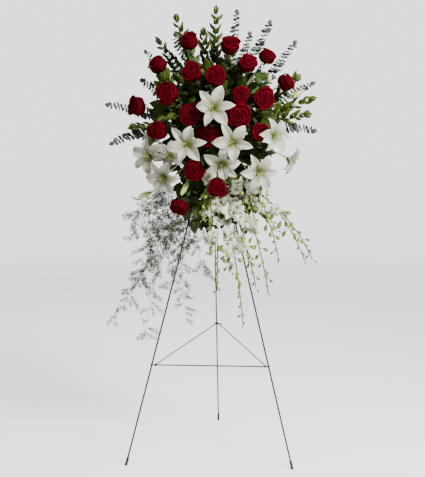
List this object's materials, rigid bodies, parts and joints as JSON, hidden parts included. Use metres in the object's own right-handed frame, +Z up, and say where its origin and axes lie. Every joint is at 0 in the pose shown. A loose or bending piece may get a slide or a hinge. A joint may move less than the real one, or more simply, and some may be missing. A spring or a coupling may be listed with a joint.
{
  "type": "standing funeral spray",
  "caption": "Standing spray of red roses and white lilies with hanging orchids and fern, set in flower foam in a plastic cage on a folding three-legged wire easel.",
  "frame": {"origin": "on the floor, at the centre of the whole part's box", "axes": "+Z up, +X to the right of a person who looks at the flowers, -Y towards that person"},
  "size_m": [0.7962, 0.6462, 1.665],
  "materials": {
    "green_wire": "dark green paint on steel wire, satin",
    "foot_rubber": "black, matt",
    "cage_plastic": "dark green moulded plastic",
    "flower_foam": "wet open foam, matt",
    "rose_petal": "velvety crimson petal",
    "lily_petal": "waxy white petal",
    "stem_green": "green stems, leaves and buds",
    "orchid_white": "white florets and lime buds",
    "fern_green": "pale airy fern",
    "eucalyptus_green": "grey-green leaf with a bloom",
    "myrtle_green": "glossy bright green leaf",
    "salal_green": "leathery dark green leaf"
  },
  "bodies": {
    "stand": {"easel_leg_left": "green_wire", "easel_leg_right": "green_wire", "easel_front_bar": "green_wire", "easel_hinge_pin": "green_wire", "easel_foot_left": "foot_rubber", "easel_foot_right": "foot_rubber", "foam_cage": "cage_plastic", "foam_block": "flower_foam", "rose_01": "rose_petal", "rose_02": "rose_petal", "rose_03": "rose_petal", "rose_04": "rose_petal", "rose_05": "rose_petal", "rose_06": "rose_petal", "rose_07": "rose_petal", "rose_08": "rose_petal", "rose_09": "rose_petal", "rose_10": "rose_petal", "rose_11": "rose_petal", "rose_12": "rose_petal", "rose_13": "rose_petal", "rose_14": "rose_petal", "rose_15": "rose_petal", "rose_16": "rose_petal", "rose_17": "rose_petal", "rose_18": "rose_petal", "rose_19": "rose_petal", "rose_20": "rose_petal", "lily_01": "lily_petal", "lily_02": "lily_petal", "lily_03": "lily_petal", "lily_04": "lily_petal", "lily_05": "lily_petal", "lily_06": "lily_petal", "lily_07": "lily_petal", "lily_08": "lily_petal", "lily_09": "lily_petal", "lily_10": "lily_petal", "lily_11": "lily_petal", "stems_top": "stem_green", "stems_upper_left": "stem_green", "stems_upper_right": "stem_green", "stems_centre": "stem_green", "stems_left": "stem_green", "stems_right": "stem_green", "orchids_left": "orchid_white", "orchids_right": "orchid_white", "plumosus_trails": "fern_green", "eucalyptus_top": "eucalyptus_green", "eucalyptus_right": "eucalyptus_green", "eucalyptus_left": "eucalyptus_green", "myrtle_top": "myrtle_green", "myrtle_right": "myrtle_green", "myrtle_left": "myrtle_green", "salal_left": "salal_green", "salal_right": "salal_green"},
    "back_leg": {"easel_leg_back": "green_wire", "easel_foot_back": "foot_rubber"},
    "spreader": {"easel_spreader_left": "green_wire", "easel_spreader_right": "green_wire"}
  },
  "joints": [
    {"name": "back_leg_fold", "type": "hinge", "parent": "stand", "child": "back_leg", "pos_m": [0.00731, -0.01812, 1.17885], "axis": [1, 0, 0], "range_deg": [-25.5, 0]},
    {"name": "spreader_fold", "type": "hinge", "parent": "stand", "child": "spreader", "pos_m": [0.00731, -0.18064, 0.35387], "axis": [1, 0, 0], "range_deg": [0, 61]}
  ],
  "couplings": [
    {"joint": "spreader_fold", "follows": "back_leg_fold", "ratio": -2.39}
  ]
}
